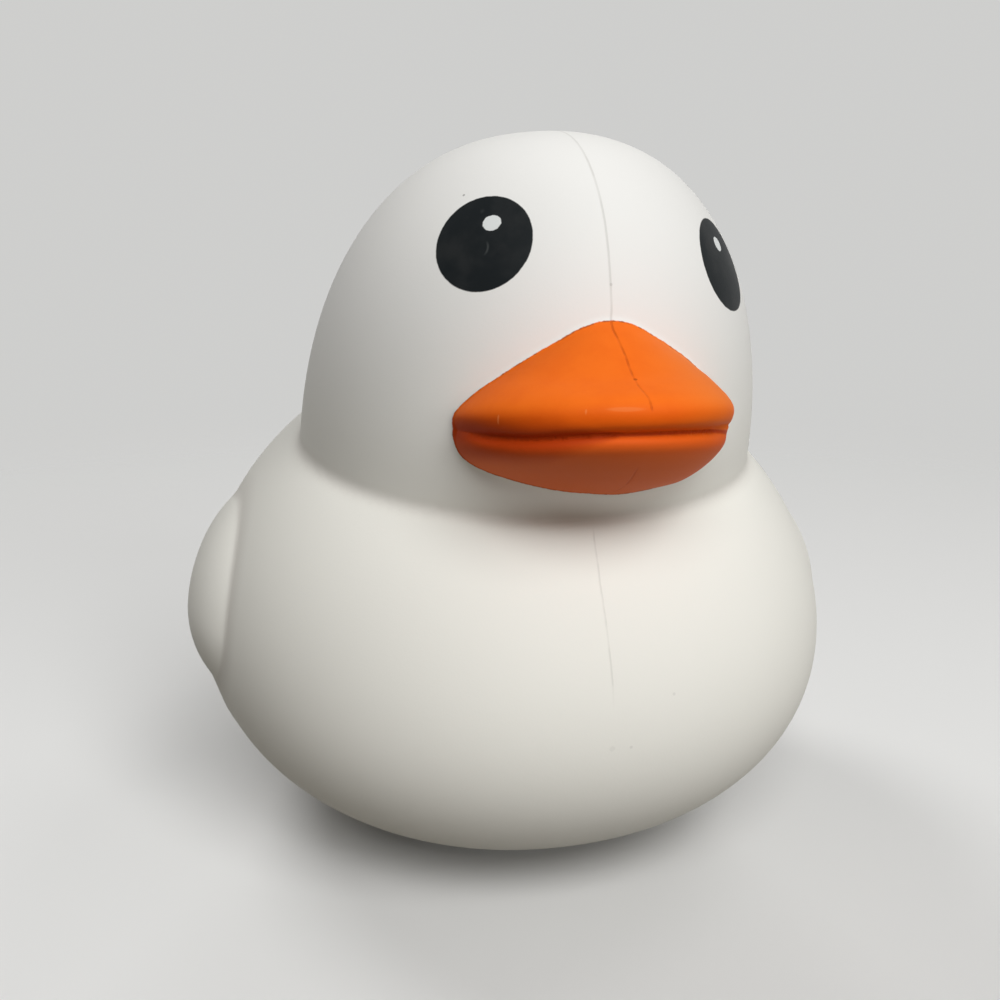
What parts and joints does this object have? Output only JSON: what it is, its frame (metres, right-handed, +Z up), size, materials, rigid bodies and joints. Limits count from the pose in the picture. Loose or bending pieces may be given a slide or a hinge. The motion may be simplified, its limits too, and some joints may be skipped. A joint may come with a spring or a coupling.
{
  "type": "squishy toy duck",
  "caption": "White foam toy duck moulded in one piece, with a domed head, orange two-lipped bill, painted eyes, low wing lobes and a short tail, for squeezing.",
  "frame": {"origin": "on the table, under the middle of the duck's length and width", "axes": "-Y the way the bill points, +X towards the duck's left wing, +Z up"},
  "size_m": [0.1928, 0.2328, 0.2],
  "materials": {
    "foam_skin": "matte"
  },
  "bodies": {
    "root": {"duck": "foam_skin"}
  },
  "joints": []
}
